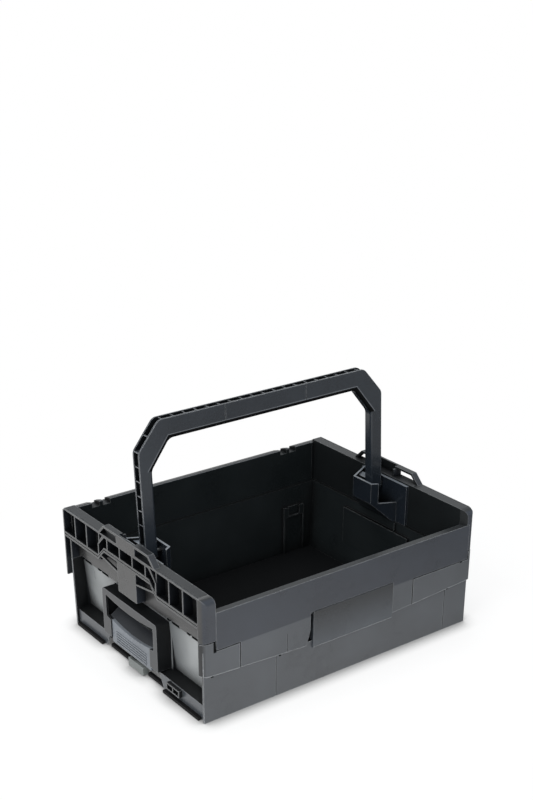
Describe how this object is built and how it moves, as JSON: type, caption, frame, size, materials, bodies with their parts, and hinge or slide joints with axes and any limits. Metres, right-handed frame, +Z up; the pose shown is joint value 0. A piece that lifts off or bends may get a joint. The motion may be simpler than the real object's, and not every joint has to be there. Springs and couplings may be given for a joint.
{
  "type": "tool storage caddy",
  "caption": "Open dark grey plastic tool caddy with a folding carry handle and a spring latch at each end.",
  "frame": {"origin": "middle of the footprint, on the floor", "axes": "+X along the length, -Y towards the low front, +Z up"},
  "size_m": [0.442, 0.3416, 0.3334],
  "materials": {
    "body_plastic": "satin moulded plastic",
    "handle_plastic": "satin moulded plastic",
    "slider_plastic": "satin moulded plastic",
    "tongue_plastic": "satin moulded plastic",
    "lug_plastic": "satin moulded plastic",
    "skid_plastic": "matt black",
    "pin_steel": "drawn steel",
    "spring_steel": "spring wire"
  },
  "bodies": {
    "tub": {"tub_shell": "body_plastic", "front_band": "body_plastic", "back_band": "body_plastic", "front_panel": "body_plastic", "left_end_frame": "body_plastic", "left_pivot_bracket": "body_plastic", "left_pivot_pin": "pin_steel", "left_latch_housing": "body_plastic", "left_latch_spring": "spring_steel", "left_coupling_lug": "lug_plastic", "left_base_skids": "skid_plastic", "right_end_frame": "body_plastic", "right_pivot_bracket": "body_plastic", "right_pivot_pin": "pin_steel", "right_latch_housing": "body_plastic", "right_latch_spring": "spring_steel", "right_coupling_lug": "lug_plastic", "right_base_skids": "skid_plastic"},
    "handle": {"handle_frame": "handle_plastic"},
    "left_latch": {"left_latch_slider": "slider_plastic", "left_latch_ramp": "body_plastic", "left_latch_tongue": "tongue_plastic"},
    "right_latch": {"right_latch_slider": "slider_plastic", "right_latch_ramp": "body_plastic", "right_latch_tongue": "tongue_plastic"}
  },
  "joints": [
    {"name": "handle_fold", "type": "hinge", "parent": "tub", "child": "handle", "pos_m": [0, -0.0015, 0.1585], "axis": [1, 0, 0], "range_deg": [0, 93]},
    {"name": "left_latch_slide", "type": "slide", "parent": "tub", "child": "left_latch", "axis": [0, 0, 1], "range_m": [0, 0.006], "stiffness_N_per_m": 400, "springref_m": -0.004, "deforming": ["left_latch_spring"]},
    {"name": "right_latch_slide", "type": "slide", "parent": "tub", "child": "right_latch", "axis": [0, 0, 1], "range_m": [0, 0.006], "stiffness_N_per_m": 400, "springref_m": -0.004, "deforming": ["right_latch_spring"]}
  ]
}
